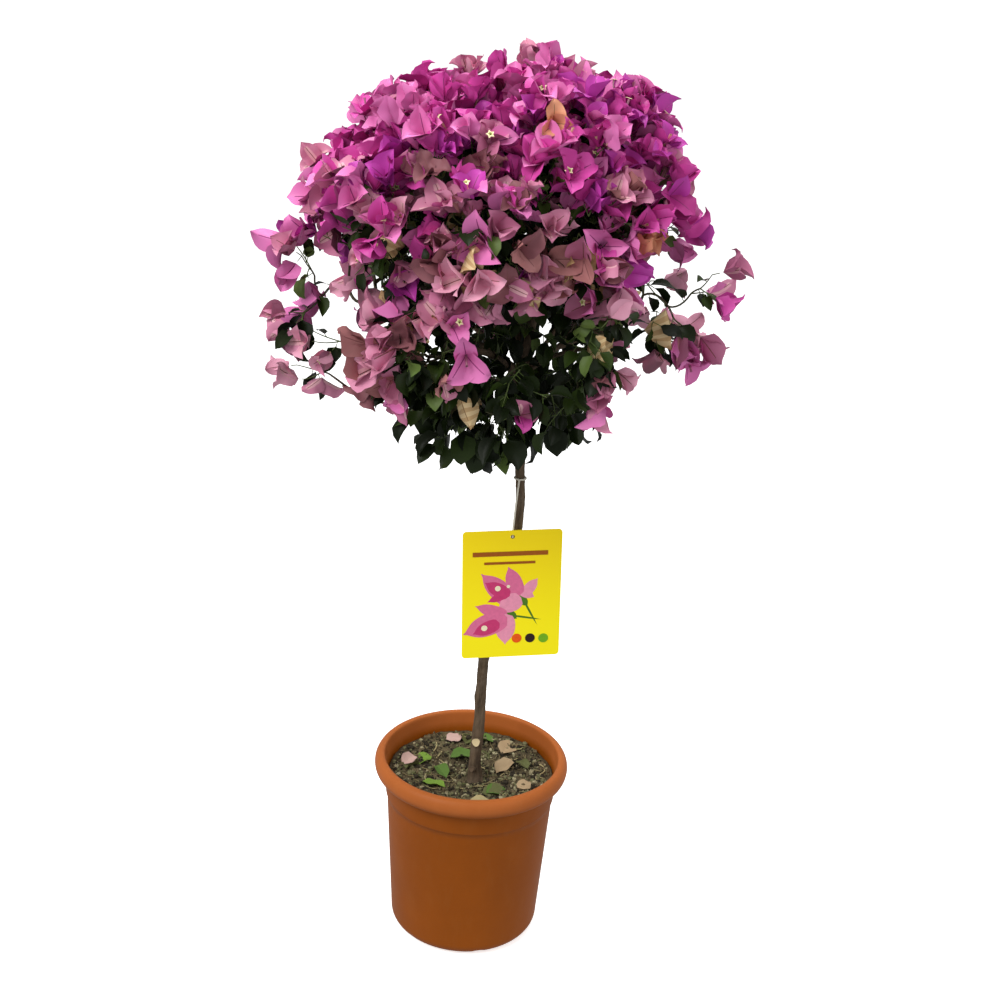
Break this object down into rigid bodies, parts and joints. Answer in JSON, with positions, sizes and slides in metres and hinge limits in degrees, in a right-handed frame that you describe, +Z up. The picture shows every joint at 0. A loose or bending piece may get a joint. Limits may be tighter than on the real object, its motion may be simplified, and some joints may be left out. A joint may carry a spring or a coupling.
{
  "type": "potted bougainvillea standard",
  "caption": "Bougainvillea grown as a small standard: round head of magenta bracts over dark leaves on one slim trunk, in a round terracotta-coloured pot, with a blank hang label.",
  "frame": {"origin": "centre of the pot's underside, on the ground", "axes": "+Z up along the pot's axis; -Y is the side that the label hangs on; +X to the right when the label is faced"},
  "size_m": [0.468, 0.4023, 0.9428],
  "materials": {
    "pot": "satin terracotta-coloured plastic",
    "soil": "moist potting compost",
    "bark": "grey-brown bark",
    "bracts": "papery magenta bracts",
    "leaves": "dark green leaves",
    "label": "glossy yellow card",
    "tie": "white string"
  },
  "bodies": {
    "root": {"bough_to_core": "bark", "bough_to_rim_back": "bark", "bough_to_rim_back_left": "bark", "bough_to_rim_back_right": "bark", "bough_to_rim_front_left": "bark", "bough_to_rim_front_right": "bark", "bough_to_rim_left_low": "bark", "bough_to_rim_right": "bark", "bough_to_shoulder_2": "bark", "bough_to_shoulder_6": "bark", "core": "leaves", "crest": "bracts", "label": "label", "label_tie": "tie", "pot": "pot", "rim_back": "bracts", "rim_back_left": "bracts", "rim_back_right": "bracts", "rim_front_leaves": "leaves", "rim_front_left": "bracts", "rim_front_right": "bracts", "rim_left_high": "bracts", "rim_left_low": "bracts", "rim_right": "bracts", "shoot_left": "bark", "shoot_right": "bark", "shoulder_1": "bracts", "shoulder_2": "bracts", "shoulder_3": "bracts", "shoulder_4": "bracts", "shoulder_5": "bracts", "shoulder_6": "bracts", "skirt_1": "leaves", "skirt_2": "leaves", "skirt_3": "leaves", "skirt_4": "leaves", "skirt_5": "leaves", "skirt_6": "leaves", "soil": "soil", "spray_left": "bracts", "spray_right": "bracts", "trunk": "bark", "upper_1": "bracts", "upper_2": "bracts", "upper_3": "bracts", "upper_4": "bracts", "upper_5": "bracts", "upper_6": "bracts", "upper_7": "bracts", "upper_8": "bracts"}
  },
  "joints": []
}
